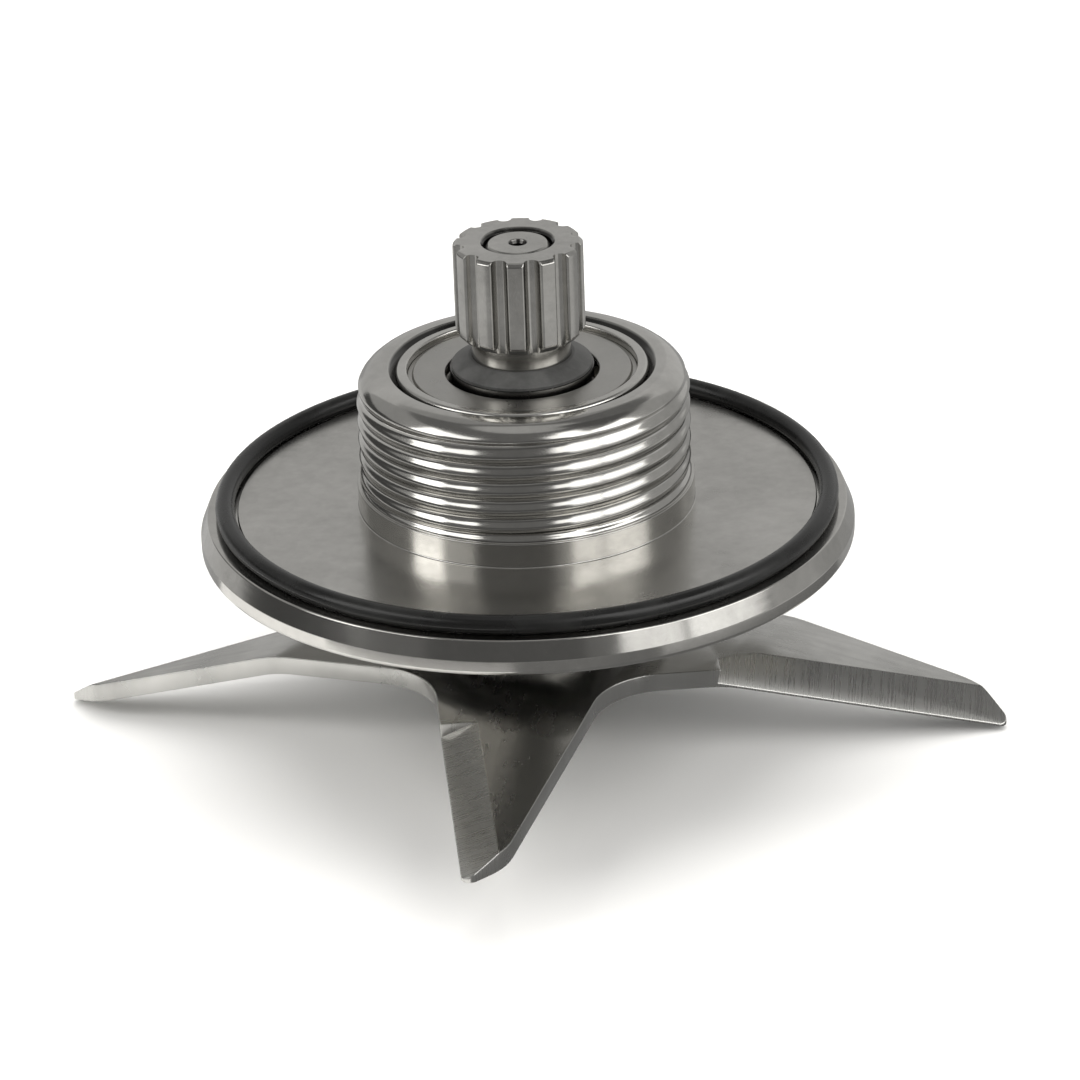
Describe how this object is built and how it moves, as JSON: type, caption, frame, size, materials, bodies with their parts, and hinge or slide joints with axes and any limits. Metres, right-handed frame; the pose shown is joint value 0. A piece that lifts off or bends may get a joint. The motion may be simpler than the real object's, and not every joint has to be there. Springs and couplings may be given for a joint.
{
  "type": "blender blade assembly",
  "caption": "Round flanged bearing housing with a threaded neck, a splined drive shaft in ball bearings and a stamped cutting blade, for the floor of a blender jar.",
  "frame": {"origin": "on the shaft axis, at the level of the cap nut's end and the tips of the bent arms", "axes": "+Z along the shaft towards the drive spline; -Y faces the camera of the picture"},
  "size_m": [0.0988, 0.0988, 0.054],
  "materials": {
    "polished_steel": "polished stainless steel",
    "blade_steel": "tumbled stainless steel with ground edges",
    "turned_steel": "fine turned steel",
    "bearing_steel": "ground and polished bearing steel",
    "shield_steel": "pressed sheet steel, satin",
    "black_rubber": "black moulded rubber",
    "seal_rubber": "dark brown seal rubber",
    "cage_plastic": "natural moulded plastic"
  },
  "bodies": {
    "housing": {"bearing_housing": "polished_steel", "flange_o_ring": "black_rubber", "drive_bearing_outer_ring": "bearing_steel", "drive_bearing_lower_shield": "shield_steel", "drive_bearing_upper_shield": "shield_steel", "blade_bearing_outer_ring": "bearing_steel", "blade_bearing_lower_shield": "shield_steel", "blade_bearing_upper_shield": "shield_steel", "seal_case": "blade_steel", "seal_lip": "seal_rubber", "seal_garter_spring": "blade_steel"},
    "rotor": {"shaft": "turned_steel", "drive_spline": "turned_steel", "dust_v_ring": "black_rubber", "drive_bearing_inner_ring": "bearing_steel", "blade_bearing_inner_ring": "bearing_steel", "bearing_spacer": "turned_steel", "thrust_washer": "blade_steel", "cutting_blade": "blade_steel", "lock_washer": "blade_steel", "cap_nut": "blade_steel"},
    "drive_ball_set": {"drive_bearing_cage": "cage_plastic", "drive_bearing_balls": "bearing_steel"},
    "blade_ball_set": {"blade_bearing_cage": "cage_plastic", "blade_bearing_balls": "bearing_steel"}
  },
  "joints": [
    {"name": "rotor_spin", "type": "hinge", "parent": "housing", "child": "rotor", "pos_m": [0, 0, 0.04038], "axis": [0, 0, -1], "continuous": true},
    {"name": "drive_ball_set_spin", "type": "hinge", "parent": "housing", "child": "drive_ball_set", "pos_m": [0, 0, 0.03637], "axis": [0, 0, -1], "continuous": true},
    {"name": "blade_ball_set_spin", "type": "hinge", "parent": "housing", "child": "blade_ball_set", "pos_m": [0, 0, 0.02077], "axis": [0, 0, -1], "continuous": true}
  ],
  "couplings": [
    {"joint": "drive_ball_set_spin", "follows": "rotor_spin", "ratio": 0.36778},
    {"joint": "blade_ball_set_spin", "follows": "rotor_spin", "ratio": 0.36778}
  ]
}
